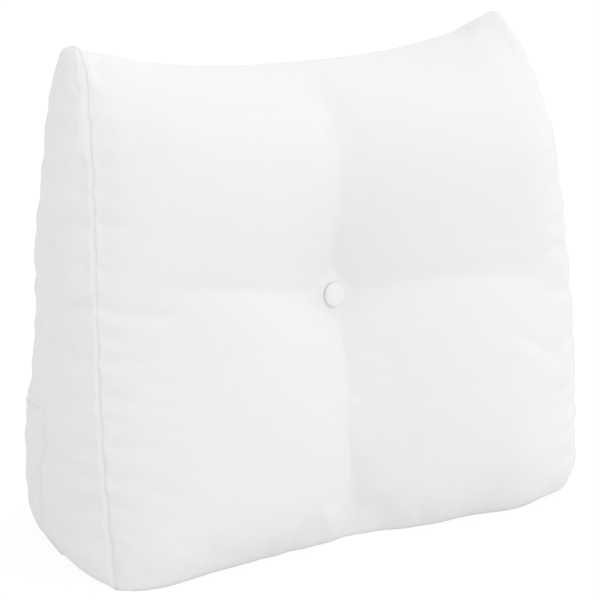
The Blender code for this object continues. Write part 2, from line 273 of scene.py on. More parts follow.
# Relief of the filling, in millimetres out of the front, a row for each height
RELIEF_ACROSS = (-0.85, -0.7, -0.55, -0.4, -0.25, -0.12, -0.04, 0.04, 0.12, 0.25, 0.4, 0.55, 0.7, 0.85)
FILLING_RELIEF = table(
    "height out",
    (0.000, (0.4, 0.6, -0.9, -2.0, -1.5, -0.5, -0.7, -1.3, -1.7, -1.9, -3.1, -4.6, -6.2, -2.7)),
    (0.030, (0.8, 1.7, 3.3, 5.9, 7.6, 6.5, 5.3, 4.2, 4.7, 3.8, 2.3, 0.6, 0.5, 2.0)),
    (0.060, (-1.8, 0.3, 3.9, 7.8, 9.4, 8.8, 8.9, 7.6, 6.6, 5.5, 4.6, 4.8, 6.6, 5.3)),
    (0.090, (-2.9, -0.5, 1.8, 4.7, 6.7, 8.1, 9.2, 6.4, 4.3, 3.6, 4.5, 6.2, 7.0, 4.3)),
    (0.120, (-2.4, -0.9, 0.5, 2.4, 4.2, 5.7, 5.8, 3.1, 1.7, 2.0, 3.7, 6.0, 6.9, 3.0)),
    (0.155, (-1.4, -1.1, -0.1, 0.6, 1.2, 1.9, 1.5, -0.7, -2.1, -1.6, 1.5, 5.1, 5.5, 2.0)),
    (0.190, (-1.1, -1.2, -0.7, -0.5, -0.2, -0.4, -1.4, -3.0, -4.3, -3.3, 0.3, 3.9, 4.1, 1.2)),
    (0.215, (-0.5, -0.8, -0.7, -0.2, 0.3, -0.8, -2.2, -4.0, -5.0, -3.9, -0.7, 2.2, 2.5, 0.3)),
    (0.235, (-0.2, 0.0, 0.2, 1.2, 1.3, -0.5, -2.9, -4.6, -5.4, -5.0, -2.2, 0.5, -0.3, -1.4)),
    (0.260, (0.3, 1.3, 2.2, 2.4, 0.8, -2.5, -4.2, -5.4, -7.7, -8.4, -6.2, -4.5, -5.2, -3.5)),
    (0.290, (1.2, 2.5, 3.1, 1.5, -1.7, -4.0, -4.9, -6.2, -8.3, -9.2, -8.6, -8.4, -7.5, -3.1)),
    (0.320, (0.2, 0.8, 1.3, 0.4, -1.9, -4.1, -4.5, -5.7, -7.1, -7.8, -7.0, -7.3, -6.0, -2.3)),
    (0.355, (-0.5, 0.3, 1.1, 0.5, -1.8, -3.2, -3.9, -5.6, -5.9, -4.5, -3.2, -2.5, -1.5, -0.2)),
    (0.390, (-1.7, 0.6, 2.0, 1.8, -0.2, -2.4, -4.1, -5.0, -3.6, -1.3, 0.6, 1.4, 0.7, 0.2)),
    (0.425, (-1.0, 1.2, 1.9, 1.6, 0.6, -1.2, -2.4, -2.4, -0.8, 0.8, 1.9, 1.7, 0.9, 0.9)),
)

# The sewn edges: a narrow ditch, and a flat topstitched strip on the side panels
DITCH = 0.0010
DITCH_REACH = 0.0007
WELT_WIDTH = 0.0050
WELT_RISE = 0.00022
WELT_START = 0.0008
WELT_FULL = 0.0022
WELT_FALL = WELT_WIDTH - 0.0009
WELT_END = WELT_WIDTH + 0.0003
NARROW_SIDE = 0.0416
STITCH_LINE = 0.0041
STITCH_DENT = 0.00022
STITCH_DENT_WIDTH = 0.0005
STITCH_LENGTH = 0.0027
STITCH_PITCH = 0.0036
THREAD_RADIUS = 0.00028
THREAD_SEGMENTS = 6
THREAD_PROUD = 0.35
SEAM_WANDER = 0.0006
WANDER_REACH = 0.006
SEAM_INSET = 0.0005
SEAM_INSET_REACH = 0.01
STEADY_HEIGHT = 0.03

# Fineness of the nets, as distances from a seam, and from the middle of the front
PANEL_STEPS = (0, 0.0005, 0.001, 0.0016, 0.0023, 0.0032, 0.0045, 0.0065, 0.009, 0.012, 0.0155, 0.0195)
MIDDLE_STEPS = (0, 0.0012, 0.0026, 0.0042, 0.0062, 0.0088, 0.012, 0.0155)
PANEL_FIELD = 52
NET_HALF_WIDTH = 0.25
SIDE_STEPS = (
    0, 0.0005, 0.001, 0.0016, 0.0022, 0.0028, 0.0033, 0.0037, 0.0041, 0.0045,
    0.0049, 0.0054, 0.0062, 0.0075, 0.0095, 0.0125, 0.016,
)
SIDE_FIELD = 22
NET_ROWS = 186
CALM_COLUMNS = 31
CALM_ROWS = 84
CALM_SIDE = 16
SIDE_STEP_ROOM = 2.6

# Swelling of the cover as cloth, and how its ripples go onto the fine net
SWELL_FRAMES = 22
SWELL_CAP = 0.008
SWELL_KEPT = 0.25
SMOOTH_PASSES = 40
FIELD_HOLD = 0.10
CREASE_HOLD = 0.7
CREASE_HOLD_WIDTH = 0.006
BUTTON_HOLD_RADIUS = 0.03
FLOOR_HOLD_HEIGHT = 0.004
RIPPLE_FIELD = 0.20
RIPPLE_SEAM = 0.34
RIPPLE_RIGHT_LOSS = 0.27
RIPPLE_REACH = 0.032
RIPPLE_FOOT = 0.7
RIPPLE_FOOT_HEIGHT = 0.05
RIPPLE_SEAM_FADE = 0.02
RIPPLE_FLOOR_FADE = 0.02
SIDE_RIPPLE = 0.75
SIDE_RIPPLE_LOSS = 0.5
SIDE_RIPPLE_FADE = 0.06

# Cloth
WEAVE_PITCH = 0.0007

# Covered button
BUTTON_RADIUS = 0.0117
BUTTON_RISE = 0.0050
BUTTON_EDGE = 0.0010
BUTTON_CLEARANCE = 0.0004
BUTTON_TUCKS = 14
BUTTON_GATHER = 0.00022
BUTTON_ROUNDS = 22
BUTTON_RIM_ROUNDS = 6
BUTTON_RIM_INSET = 0.17
BUTTON_SEGMENTS = 112

# Zip placket, its front edge from the foot up
PLACKET = table(
    "height front",
    (0.006, 0.078),
    (0.016, 0.088),
    (0.032, 0.097),
    (0.056, 0.104),
    (0.085, 0.103),
    (0.108, 0.093),
    (0.125, 0.091),
    (0.146, 0.092),
)
PLACKET_FROM_SEAM = 0.009
PLACKET_THICKNESS = 0.0011
PLACKET_HEM = 0.0045
PLACKET_FALL = 0.013
PLACKET_ROUNDING = 0.0012
PLACKET_DENT = 0.00035
PLACKET_DENT_WIDTH = 0.0007
PLACKET_HEM_RISE = 0.0004
PLACKET_HEM_FADE = 0.003
PLACKET_LIFT = 0.0001
PLACKET_SINK = 0.0006
PLACKET_SLOPE_STEP = 0.004
PLACKET_ROWS = 70
PLACKET_COLUMNS = 46

# Camera, from the photograph's own view
CAMERA_AZIMUTH = radians(-28.42)
CAMERA_ELEVATION = radians(15.87)
CAMERA_DISTANCE = 1.9527
CAMERA_TARGET = (-0.014 - MIDDLE_ACROSS, 0.080 - MIDDLE_DEPTH, 0.2192)
CAMERA_LENS = 121.8
CAMERA_SENSOR = 36.0

# Sky, as heights from the horizon up and their shades
SKY = ((0.0, 1.0), (0.06, 1.0), (0.16, 0.81), (0.5, 0.81), (1.0, 0.84))

# Floor: the one that is seen, and the unseen one that throws light back; the unseen one also glows as
# painted light, and its colour is painted shade, darker near the middle under the pillow
FLOOR_SHADE = 0.10
FLOOR_SEEN_GLOW = 0.91
FLOOR_DROP = 0.0005
# Painted shade on the unseen floor: its colour by distance from the middle, darker near the pillow
# than far out
BOUNCE_PAINTED_SHADE = {"From Min": 0.25, "From Max": 1.0, "To Min": 0.57, "To Max": 0.64}
# Painted light: the unseen floor's glow, which lights the pillow's foot whatever shade falls there
FLOOR_GLOW = 0.31

# Lamps, with their spread in degrees
LAMPS = table(
    "name energy angle direction",
    ("key", 0.77, 75, (0.45, -0.55, 0.95)),
    ("rim", 0.36, 50, (0.80, 0.52, 0.66)),
)


def curve_through(places, values):
    """Return a function that reads a smooth curve through values at places."""
    places = np.asarray(places, float)
    values = np.asarray(values, float)
    slopes = np.gradient(values, places, axis=0)

    def read(place):
        place = np.clip(np.asarray(place, float), places[0], places[-1])
        low = np.clip(np.searchsorted(places, place) - 1, 0, len(places) - 2)
        step = places[low + 1] - places[low]
        t = (place - places[low]) / step
        wide = place.shape + (1,) * (values.ndim - 1)
        t, step = t.reshape(wide), step.reshape(wide)
        start = (1 + 2 * t) * (1 - t) ** 2 * values[low]
        start = start + t * (1 - t) ** 2 * step * slopes[low]
        end = t ** 2 * (3 - 2 * t) * values[low + 1]
        return start + end + t ** 2 * (t - 1) * step * slopes[low + 1]

    return read


def relief(u, height):
    """Return the filling's relief, from the table's rows up the front and columns across."""
    heights = [row.height for row in FILLING_RELIEF] + [HEIGHT]
    places = (-1,) + RELIEF_ACROSS + (1,)
    outs = np.zeros((len(heights), len(places)))
    outs[:-1, 1:-1] = [row.out for row in FILLING_RELIEF]
    up = curve_through(heights, np.eye(len(heights)))(height)
    across = curve_through(places, np.eye(len(places)))(u)
    return np.einsum("...i,ij,...j->...", up, outs / 1000, across)


def smooth_step(low, high, value):
    t = np.clip((value - low) / (high - low), 0, 1)
    return t * t * (3 - 2 * t)


def bell(offset, width):
    return np.exp(-(offset / width) ** 2)


def side_outline():
    """Return the side outline as a curve, and its lengths to the top edge and in all."""
    front = [(row.front, row.height, row.half_width) for row in SECTIONS]
    back = [(row.back, row.height, row.half_width) for row in reversed(SECTIONS)]
    points = np.array(front + [(TOP_DEPTH, HEIGHT, TOP_HALF_WIDTH)] + back)
    steps = np.linalg.norm(np.diff(points[:, :2], axis=0), axis=1)
    lengths = np.concatenate([[0], np.cumsum(steps)])
    return curve_through(lengths, points), lengths[len(front)], lengths[-1]


OUTLINE, TOP_PLACE, FULL_PLACE = side_outline()
CREASE_HEIGHT = BUTTON_HEIGHT / (1 - TOP_SAG / HEIGHT)
CROWN_AT = curve_through(
    [row.height for row in FRONT_CROWN],
    [(row.crease, row.quarter) for row in FRONT_CROWN],
)
CREASE_AT = curve_through(
    [row.u for row in CREASE_LINE],
    [(row.rise, row.depth) for row in CREASE_LINE],
)


def outward(place):
    """Return the outline's outward direction, as depth and height."""
    ahead = OUTLINE(place + 0.001) - OUTLINE(place - 0.001)
    direction = np.stack([-ahead[..., 1], ahead[..., 0]], -1)
    return direction / np.linalg.norm(direction, axis=-1, keepdims=True)


def across_profile(u, height):
    """Return how full the panel is across its width, from 0 at the seams to 1."""
    squareness = SQUARENESS + FOOT_SQUARENESS * np.exp(-height / SQUARE_HEIGHT)
    return eased(np.maximum(1 - np.abs(u) ** squareness, 0))


def eased(share, ease=SEAM_EASE):
    """Return a share's rise from a seam: steep beside it, but without an upright start."""
    start = ease ** SHOULDER
    return ((share + ease) ** SHOULDER - start) / ((1 + ease) ** SHOULDER - start)


def tuck(height):
    """Return the short round turn at the floor, from 1 there to 0."""
    t = np.clip(1 - height / FOOT_HEIGHT, 0, 1)
    return 1 - np.sqrt(1 - t ** 2)


def foot_turn(height):
    """Return the front's turning under: a long gentle part and a short round part."""
    t = np.clip(1 - height / FOOT_TURN_HEIGHT, 0, 1)
    return FOOT_TURN_SHARE * t ** 2.5 + (1 - FOOT_TURN_SHARE) * tuck(height)


def puckers(side, height, reach, far, spread_up=PUCKER_HEIGHT):
    """Return the puckers' depth at a height and a reach from the seam, deepest at far."""
    depth = 0.0
    for row in RIGHT_PUCKERS if side > 0 else PUCKERS:
        middle = row.height + row.slant * reach
        width = spread_up + PUCKER_FAN * reach
        depth = depth + row.depth * bell(height - middle, width)
    near = reach / far
    return depth * near * np.exp(1 - near)


def unevenness(u, height):
    wave = np.sin(9 * u + 21 * height + 0.8) + np.sin(5 * u - 33 * height + 2.1)
    return UNEVENNESS * wave


def folds(u, height):
    """Return the relief of single folds, each along a straight line on the front."""
    out = 0.0
    for row in FOLDS:
        along_u, along_h = (row.end_u - row.u) * NET_HALF_WIDTH, row.end_height - row.height
        length = np.hypot(along_u, along_h)
        off_u, off_h = (u - row.u) * NET_HALF_WIDTH, height - row.height
        along = (off_u * along_u + off_h * along_h) / length ** 2
        aside = (off_u * along_h - off_h * along_u) / length
        ends = smooth_step(-FOLD_FADE, FOLD_FADE, along)
        ends = ends * (1 - smooth_step(1 - FOLD_FADE, 1 + FOLD_FADE, along))
        out = out + row.out * ends * bell(aside, row.width)
    return out


def rounded(distance, rounding):
    return np.sqrt(distance ** 2 + rounding ** 2) - rounding


def ditch(distance):
    """Return how deep the sewn edge is drawn in, at a distance from the seam."""
    return DITCH * bell(distance, DITCH_REACH)


def wander(height):
    """Return how far the seam strays to the side where the puckers pull it."""
    return SEAM_WANDER * (np.sin(170 * height + 1) + 0.6 * np.sin(287 * height + 2.3))


def welt(distance, height, scale):
    """Return the rise of the topstitched strip beside a seam on a side panel."""
    distance = distance / scale
    strip = smooth_step(WELT_START, WELT_FULL, distance)
    strip = strip * (1 - smooth_step(WELT_FALL, WELT_END, distance))
    pull = 0.75 + 0.25 * np.cos(2 * pi * height / STITCH_PITCH)
    dent = STITCH_DENT * pull * bell(distance - STITCH_LINE, STITCH_DENT_WIDTH)
    return scale * (WELT_RISE * strip - dent)


def front_crown(u, section):
    height, half_width = section[..., 1], section[..., 2]
    near_crease = bell(height - CREASE_HEIGHT, CREASE_BAND)
    crease_at = CREASE_AT(u)
    level = height - crease_at[..., 0] * near_crease
    crown = CROWN_AT(level)
    crease, quarter = crown[..., 0], crown[..., 1]
    full = across_profile(u, height)
    sway = CREASE_SWAY * bell(height - SWAY_HEIGHT, SWAY_BAND)
    from_middle = u - sway * np.exp(-np.abs(u) / SWAY_SPREAD)
    rounding = CREASE_ROUNDING + CREASE_FOOT_ROUNDING * np.exp(-height / CREASE_FOOT_HEIGHT)
    by_button = bell(height - CREASE_HEIGHT, CREASE_BUTTON_HEIGHT)
    rounding = rounding + CREASE_BUTTON_ROUNDING * by_button
    crease_share = np.exp(-rounded(from_middle, rounding) / CREASE_SPREAD)
    out = quarter * full + (crease - quarter) * crease_share
    from_crease = rounded(level - CREASE_HEIGHT, CROSS_CREASE_ROUNDING)
    cross = CROSS_CREASE_DEPTH * crease_at[..., 1] * np.exp(-from_crease / CROSS_CREASE_SPREAD)
    out = out - cross * full * smooth_step(0, CROSS_CREASE_START, np.abs(u))
    middle_tuck = FRONT_TUCK_MIDDLE - FRONT_TUCK
    foot = (FRONT_TUCK + middle_tuck * crease_share) * (1 - u ** SEAM_POWER)
    out = out - foot * foot_turn(height)
    out = out + unevenness(u, height) * full * (1 - height / HEIGHT)
    for puff in FOOT_PUFFS:
        across = bell(u - puff.u, FOOT_PUFF_WIDTH)
        out = out + puff.out * across * full * np.exp(-height / FOOT_PUFF_HEIGHT)
    out = out + relief(u, height) + folds(u, height) * full
    from_seam = half_width * (1 - np.abs(u))
    left = puckers(-1, height, from_seam, PUCKER_REACH) * (u < 0)
    right = puckers(1, height, from_seam, RIGHT_PUCKER_REACH) * (u > 0)
    return out - left - right - ditch(from_seam)


def back_crown(u, section):
    height = section[..., 1]
    up = height / HEIGHT
    full = across_profile(u, height)
    out = (BACK_CROWN + BACK_CROWN_GAIN * up) * full * (1 - up ** 4)
    out = out - ditch(section[..., 2] * (1 - np.abs(u)))
    return out - BACK_TUCK * tuck(height) * (1 - u ** SEAM_POWER)


def panel_points(u, place):
    """Return points of the long panel, from side to side by u and along the outline by place."""
    section = OUTLINE(place)
    level, half_width = section[..., 1], section[..., 2]
    direction = outward(place)
    crown = np.where(place <= TOP_PLACE, front_crown(u, section), back_crown(u, section))
    depth = section[..., 0] + direction[..., 0] * crown
    height = level + direction[..., 1] * crown
    height = np.maximum(height, 0)
    power = np.where(u > 0, RIGHT_SAG_POWER, TOP_SAG_POWER)
    height = height * (1 - TOP_SAG / HEIGHT * (1 - np.abs(u) ** power))
    ear = (level / HEIGHT) ** EAR_FADE * smooth_step(EAR_START, 1.0, u)
    height = height + EAR_RISE * ear
    depth = depth + EAR_PINCH * ear * (TOP_DEPTH - depth)
    right = np.maximum(u, 0)
    across = u * half_width + RIGHT_FULLNESS * right ** 2 * (1 - EAR_PINCH * ear)
    from_seam = half_width * (1 - np.abs(u))
    steady = smooth_step(0, STEADY_HEIGHT, level)
    across = across - np.sign(u) * ditch(from_seam) * steady
    inset = SEAM_INSET * (u < 0) * (place <= TOP_PLACE) * steady * (1 - level / HEIGHT)
    across = across + inset * np.exp(-from_seam / SEAM_INSET_REACH)
    across = across + steady * wander(level) * np.exp(-from_seam / WANDER_REACH)
    left = smooth_step(LEFT_FOOT_START, 1, -u) * np.exp(-level / LEFT_FOOT_HEIGHT)
    left = left * (place <= TOP_PLACE)
    depth = depth - LEFT_FOOT_STEP * left
    corner = RIGHT_FOOT_TUCK * right ** SEAM_POWER * tuck(level)
    across = across - corner
    depth = depth - corner * direction[..., 0]
    return drawn_to_button(np.stack([across, depth, height], -1))


def drawn_to_button(points):
    lean, swing = tan(BUTTON_TILT), tan(BUTTON_SWING)
    rise = points[..., 2] - BUTTON_HEIGHT
    from_button = np.hypot(points[..., 0], rise)
    share = np.exp(-(np.maximum(from_button - SEAT_RADIUS, 0) / DIMPLE_REACH) ** 2)
    share = share * (points[..., 1] < MIDDLE_DEPTH)
    seat = SEAT_DEPTH + lean * rise + swing * points[..., 0]
    points[..., 1] += share * (seat - points[..., 1])
    return points


def side_points(side, front, back, q):
    """Return points of a side panel between two points of its sewn edge, q from front."""
    line = front + (back - front) * q[..., None]
    width = np.abs(back[..., 1] - front[..., 1])
    height = line[..., 2]
    near, far = q * width, (1 - q) * width
    full = eased(4 * q * (1 - q), SIDE_SEAM_EASE) * (1 + SIDE_SKEW * (1 - 2 * q))
    corner = SIDE_CORNER * (1 - q) * (1 - np.exp(-near / SIDE_CORNER_REACH))
    corner = corner * smooth_step(0, SIDE_CORNER_WIDTH, width)
    puff = 0.0
    for row in BACK_PUFFS:
        rise = smooth_step(row.start, row.low, height) - smooth_step(row.high, row.end, height)
        puff = puff + row.out * rise
    puff = puff * bell(q - BACK_PUFF_PLACE, BACK_PUFF_SPREAD)
    corner = corner + puff * (1 - np.exp(-far / BACK_PUFF_REACH))
    bulge = (SIDE_CROWN * width * full + corner) * (1 - SIDE_TUCK * tuck(height))
    near_puckers = puckers(side, height, near, SIDE_PUCKER_REACH, SIDE_PUCKER_HEIGHT)
    bulge = bulge - SIDE_PUCKER_GAIN * near_puckers
    share = smooth_step(BACK_PUCKER_LOW, BACK_PUCKER_LOW + BACK_PUCKER_START, height)
    bulge = bulge - BACK_PUCKER_SHARE * share * puckers(side, height, far, SIDE_PUCKER_REACH)
    scale = np.clip(width / NARROW_SIDE, 0.01, 1)
    bulge = bulge + welt(near, height, scale) + welt(far, height, scale)
    bulge = bulge + 2 * DITCH - ditch(near) - ditch(far)
    line[..., 0] += side * bulge
    return line


def spread(count, clustering):
    """Return count + 1 places from 0 to 1, closer together near both ends."""
    t = np.linspace(0, 1, count + 1)
    return (1 - clustering) * t + clustering * (1 - np.cos(pi * t)) / 2


class Cover:
    """The cover as a net: rings of points round the long panel, and two side panels."""

    def __init__(self, columns, rows, side_columns):
        self.columns = columns
        self.top = rows
        rise = np.linspace(0, 1, rows + 1)
        down = FULL_PLACE - (FULL_PLACE - TOP_PLACE) * rise[-2::-1]
        self.places = np.concatenate([rise * TOP_PLACE, down])
        u, place = np.meshgrid(columns, self.places, indexing="ij")
        self.rings = panel_points(u, place)
        self.rings[:, [0, -1], 2] = 0.0
        self.q = {}
        self.sides = {}
        for side, ring in ((-1, self.rings[0]), (1, self.rings[-1])):
            front, back = ring[:rows], ring[:rows:-1]
            width = np.abs(back[:, 1] - front[:, 1])
            self.q[side] = side_columns(width)
            self.sides[side] = side_points(side, front[:, None], back[:, None], self.q[side])

    def base_points(self):
        """Return the base's inner points: a row for each column, from front to back."""
        q = self.q[1][0][1:-1]
        front, back = self.rings[:, 0], self.rings[:, -1]
        base = front[:, None] + (back - front)[:, None] * q[:, None]
        for side, end in ((-1, 0), (1, -1)):
            straight = base[end, :, 0].copy()
            swell = self.sides[side][0][1:-1, 0] - straight
            share = np.maximum(side * self.columns, 0) ** 3
            base[:, :, 0] += share[:, None] * swell
        return base

    def build(self):
        """Return a bmesh of the whole net."""
        body = bmesh.new()
        base = self.base_points()
        last = 2 * self.top
        rings = []
        for ring, under in zip(self.rings, base):
            loop = np.concatenate([ring, under[::-1]])
            verts = [body.verts.new(point) for point in loop]
            rings.append(verts + [verts[0]])
        fill_grid(body, rings, 0)
        for side, ring in ((-1, rings[0]), (1, rings[-1])):
            rows = [[ring[0]] + ring[last + 1:-1][::-1] + [ring[last]]]
            for i in range(1, self.top):
                inner = [body.verts.new(point) for point in self.sides[side][i][1:-1]]
                rows.append([ring[i]] + inner + [ring[last - i]])
            rows.append([ring[self.top]] * len(rows[0]))
            fill_grid(body, rows, 1)
        bmesh.ops.recalc_face_normals(body, faces=body.faces)
        return body

    def read_back(self, points):
        """Take the net's points from a mesh's points, in the order that build made them."""
        count = self.rings.shape[1]
        inner = self.q[1].shape[1] - 2
        end = len(self.columns) * (count + inner)
        rings = points[:end].reshape(len(self.columns), -1, 3)
        self.rings = rings[:, :count].copy()
        rest = points[end:]
        step = (self.top - 1) * inner
        for number, side in enumerate((-1, 1)):
            block = rest[number * step:(number + 1) * step].reshape(self.top - 1, inner, 3)
            self.sides[side][1:, 1:-1] = block
            ring = self.rings[0 if side < 0 else -1]
            self.sides[side][:, 0] = ring[:self.top]
            self.sides[side][:, -1] = ring[:self.top:-1]


def fill_grid(mesh_data, rows, material):
    """Fill the faces between rows of vertices, and skip the corners that rows share."""
    for low, high in zip(rows, rows[1:]):
        for i in range(len(low) - 1):
            corners = [low[i], low[i + 1], high[i + 1], high[i]]
            corners = list(dict.fromkeys(corners))
            if len(corners) > 2:
                face = mesh_data.faces.new(corners)
                face.material_index = material


def fine_columns():
    """Return the fine net's columns, close together at the seams and at the middle crease."""
    near = NET_HALF_WIDTH - np.array(PANEL_STEPS)[::-1]
    field = np.linspace(MIDDLE_STEPS[-1], near[0], PANEL_FIELD + 2)[1:-1]
    half = np.concatenate([MIDDLE_STEPS, field, near]) / NET_HALF_WIDTH
    return np.concatenate([-half[:0:-1], half])


def fine_side_columns(width):
    """Return q for each row of a side panel, close together at both seams."""
    steps = np.array(SIDE_STEPS)
    scale = np.minimum(1, width / (SIDE_STEP_ROOM * steps[-1]))
    near = steps * scale[:, None]
    t = np.linspace(0, 1, SIDE_FIELD + 2)[1:-1]
    end = near[:, -1:]
    field = end + (width[:, None] - 2 * end) * t
    return np.concatenate([near, field, width[:, None] - near[:, ::-1]], 1) / width[:, None]


def calm_side_columns(width):
    return np.tile(np.linspace(0, 1, CALM_SIDE + 1), (len(width), 1))


def plain_object(name, mesh_data):
    """Turn a bmesh into a smooth-shaded object."""
    mesh = bpy.data.meshes.new(name)
    mesh_data.to_mesh(mesh)
    mesh_data.free()
    mesh.shade_smooth()
    piece = bpy.data.objects.new(name, mesh)
    bpy.context.scene.collection.objects.link(piece)
    return piece


def on_frame(points):
    """Move points from the front foot's origin to the frame's."""
    return points - np.array([MIDDLE_ACROSS, MIDDLE_DEPTH, 0])


def dress(piece, node_name, slot, *materials):
    """Give a piece its materials and its place in the frame, and hide the imported part it stands in
    for.
    """
    for material in materials:
        piece.data.materials.append(material)
    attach(piece, "root")
    if node_name:
        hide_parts(node_name)


def set_inputs(node, values):
    """Set a node's inputs by their names."""
    for name, value in values.items():
        node.inputs[name].default_value = value


def new_material(name):
    """Return a material, its nodes, its links and its shader."""
    material = bpy.data.materials.new(name)
    material.use_nodes = True
    tree = material.node_tree
    return material, tree.nodes, tree.links, tree.nodes["Principled BSDF"]


def cloth_material(name, across, colour=(0.845, 0.845, 0.848)):
    """Smooth white woven cloth; across names the object axis that the weft runs along."""
    material, nodes, links, shader = new_material(name)
    set_inputs(shader, {"Sheen Weight": 0.06, "Sheen Roughness": 0.5, "Specular IOR Level": 0.25})
    place = nodes.new("ShaderNodeTexCoord")
    split = nodes.new("ShaderNodeSeparateXYZ")
    links.new(place.outputs["Object"], split.inputs[0])

    def maths(operation, first, second):
        node = nodes.new("ShaderNodeMath")
        node.operation = operation
        for socket, value in zip(node.inputs, (first, second)):
            if isinstance(value, (int, float)):
                socket.default_value = value
            elif value is not None:
                links.new(value, socket)
        return node.outputs[0]

    def noise(scale, detail, distortion=0.0):
        node = nodes.new("ShaderNodeTexNoise")
        set_inputs(node, {"Scale": scale, "Detail": detail, "Distortion": distortion})
        links.new(place.outputs["Object"], node.inputs["Vector"])
        return node.outputs["Fac"]

    weft = split.outputs[across]
    slope = maths("MULTIPLY", split.outputs["Y"], 0.6 if across == "X" else 0.0)
    warp = maths("ADD", split.outputs["Z"], slope)
    per_metre = 2 * pi / WEAVE_PITCH
    weft_wave = maths("SINE", maths("MULTIPLY", weft, per_metre), None)
    warp_wave = maths("SINE", maths("MULTIPLY", warp, per_metre), None)
    weave = maths("MULTIPLY", weft_wave, warp_wave)
    slub = noise(900, 2)

    def ramp(value, low, high):
        node = nodes.new("ShaderNodeMapRange")
        links.new(value, node.inputs["Value"])
        set_inputs(node, {"From Min": 0.25, "From Max": 0.75, "To Min": low, "To Max": high})
        return node.outputs["Result"]

    shade = maths("ADD", ramp(noise(7, 2), -0.006, 0.006), ramp(slub, -0.010, 0.010))
    shade = maths("ADD", shade, maths("MULTIPLY", weave, 0.012))
    tone = maths("ADD", shade, 1.0)
    tint = nodes.new("ShaderNodeVectorMath")
    tint.operation = "SCALE"
    tint.inputs[0].default_value = colour
    links.new(tone, tint.inputs["Scale"])
    links.new(tint.outputs["Vector"], shader.inputs["Base Color"])
    links.new(ramp(noise(40, 3), 0.80, 0.90), shader.inputs["Roughness"])

    def bump(height, distance, strength, below=None):
        node = nodes.new("ShaderNodeBump")
        set_inputs(node, {"Distance": distance, "Strength": strength})
        links.new(height, node.inputs["Height"])
        if below:
            links.new(below, node.inputs["Normal"])
        return node.outputs["Normal"]

    ruffle = bump(noise(34, 3, 0.4), 0.0022, 0.35)
    crumple = bump(noise(140, 3, 0.3), 0.0003, 0.35, ruffle)
    threads = maths("ADD", weave, maths("MULTIPLY", slub, 0.8))
    links.new(bump(threads, 0.00005, 0.5, crumple), shader.inputs["Normal"])
    return material


def swell(cover):
    """Swell a coarse copy of the cover as cloth, and return how far each point moved."""
    rings, sides = cover.rings.copy(), {side: net.copy() for side, net in cover.sides.items()}
    piece = plain_object("calm_cover", cover.build())
    mesh = piece.data
    points = np.array([vert.co for vert in mesh.vertices])
    x, y, z = points.T
    from_button = np.hypot(x, z - BUTTON_HEIGHT)
    front = y < MIDDLE_DEPTH
    held = np.full(len(points), FIELD_HOLD)
    held = np.maximum(held, CREASE_HOLD * np.exp(-np.abs(x) / CREASE_HOLD_WIDTH) * front)
    held = np.maximum(held, bell(from_button, BUTTON_HOLD_RADIUS) * front)
    held[z < FLOOR_HOLD_HEIGHT] = 1.0
    seam = np.zeros(len(points))
    count = rings.shape[1]
    inner = cover.q[1].shape[1] - 2
    ring_length = count + inner
    for end in (0, len(cover.columns) - 1):
        seam[end * ring_length:end * ring_length + count] = 1.0
    held = np.maximum(held, seam)
    group = piece.vertex_groups.new(name="held")
    for level in np.unique(np.round(held, 2)):
        chosen = np.flatnonzero(np.round(held, 2) == level)
        group.add([int(i) for i in chosen], float(level), "REPLACE")
    cloth = piece.modifiers.new("cloth", "CLOTH")
    settings = cloth.settings
    settings.quality = 6
    settings.mass = 0.15
    settings.tension_stiffness = 18
    settings.compression_stiffness = 18
    settings.shear_stiffness = 6
    settings.bending_stiffness = 0.6
    settings.air_damping = 3
    settings.vertex_group_mass = "held"
    settings.pin_stiffness = 0.6
    settings.use_pressure = True
    settings.uniform_pressure_force = 2.5
    settings.shrink_min = -0.022
    settings.effector_weights.gravity = 0
    cloth.point_cache.frame_start = 1
    cloth.point_cache.frame_end = SWELL_FRAMES
    scene = bpy.context.scene
    scene.frame_start, scene.frame_end = 1, SWELL_FRAMES
    for frame_number in range(1, SWELL_FRAMES + 1):
        scene.frame_set(frame_number)
    settled = piece.evaluated_get(bpy.context.evaluated_depsgraph_get())
    moved = np.array([vert.co for vert in settled.data.vertices])
    scene.frame_set(1)
    bpy.data.objects.remove(piece, do_unlink=True)
    moved = points + np.clip(moved - points, -SWELL_CAP, SWELL_CAP)
    cover.read_back(moved)
    ring_moves = cover.rings - rings
    side_moves = {side: cover.sides[side] - net for side, net in sides.items()}
    return ring_moves, side_moves


def smoothed(moves):
    """Average each point's move with its neighbours', many times."""
    for _ in range(SMOOTH_PASSES):
        padded = np.pad(moves, ((1, 1), (1, 1), (0, 0)), mode="edge")
        moves = (padded[:-2, 1:-1] + padded[2:, 1:-1] + padded[1:-1, :-2] + padded[1:-1, 2:]) / 4
    return moves


def ripples(moves):
    """Keep the fine ripples of the swollen cloth, and a share of its general swelling."""
    slow = smoothed(moves)
    return moves - (1 - SWELL_KEPT) * slow


def read_net(moves, rows, columns, new_rows, new_columns):
    """Read moves on a net at other rows and columns, with smooth curves between them."""
    by_row = curve_through(rows, moves)(new_rows)
    if np.ndim(new_columns) == 1:
        return np.swapaxes(curve_through(columns, np.swapaxes(by_row, 0, 1))(new_columns), 0, 1)
    return np.stack([curve_through(columns, by_row[i])(new_columns[i]) for i in range(len(new_rows))])


